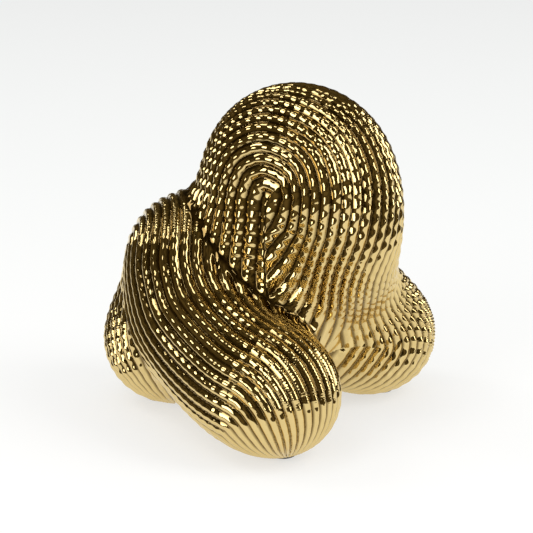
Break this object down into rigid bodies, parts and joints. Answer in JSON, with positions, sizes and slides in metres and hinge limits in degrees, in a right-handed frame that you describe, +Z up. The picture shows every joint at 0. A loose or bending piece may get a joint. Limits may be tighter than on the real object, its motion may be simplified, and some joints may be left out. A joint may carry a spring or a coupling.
{
  "type": "knot sculpture",
  "caption": "Abstract knot sculpture of fat ribbed strands in polished gold-coloured metal, standing on rounded feet with felt pads.",
  "frame": {"origin": "on the ground under the middle of the sculpture's box", "axes": "+Z up, -Y towards the viewer of the front foot, +X to the viewer's right"},
  "size_m": [0.245, 0.204, 0.237],
  "materials": {
    "cast_metal": "polished",
    "dowel_steel": "ground",
    "plug_metal": "turned",
    "felt": "felt"
  },
  "bodies": {
    "root": {"core": "cast_metal", "crown_dowels": "dowel_steel", "crown_left": "cast_metal", "crown_left_core_pins": "cast_metal", "crown_right": "cast_metal", "crown_right_core_pins": "cast_metal", "diagonal": "cast_metal", "diagonal_core_pins": "cast_metal", "elbow_dowels": "dowel_steel", "front_bend_dowels": "dowel_steel", "front_foot": "cast_metal", "front_foot_core_pins": "cast_metal", "front_foot_pad": "felt", "left_bend_dowels": "dowel_steel", "left_foot": "cast_metal", "left_foot_core_pins": "cast_metal", "left_foot_pad": "felt", "left_heel_dowels": "dowel_steel", "left_leg": "cast_metal", "left_leg_core_pins": "cast_metal", "right_bend_dowels": "dowel_steel", "right_foot": "cast_metal", "right_foot_core_pins": "cast_metal", "right_foot_pad": "felt", "right_leg": "cast_metal", "right_leg_core_pins": "cast_metal", "shoulder_back": "cast_metal", "shoulder_back_core_pins": "cast_metal", "shoulder_dowels": "dowel_steel", "shoulder_front": "cast_metal", "shoulder_front_core_pins": "cast_metal", "vent_plug": "plug_metal", "waist_dowels": "dowel_steel"}
  },
  "joints": []
}
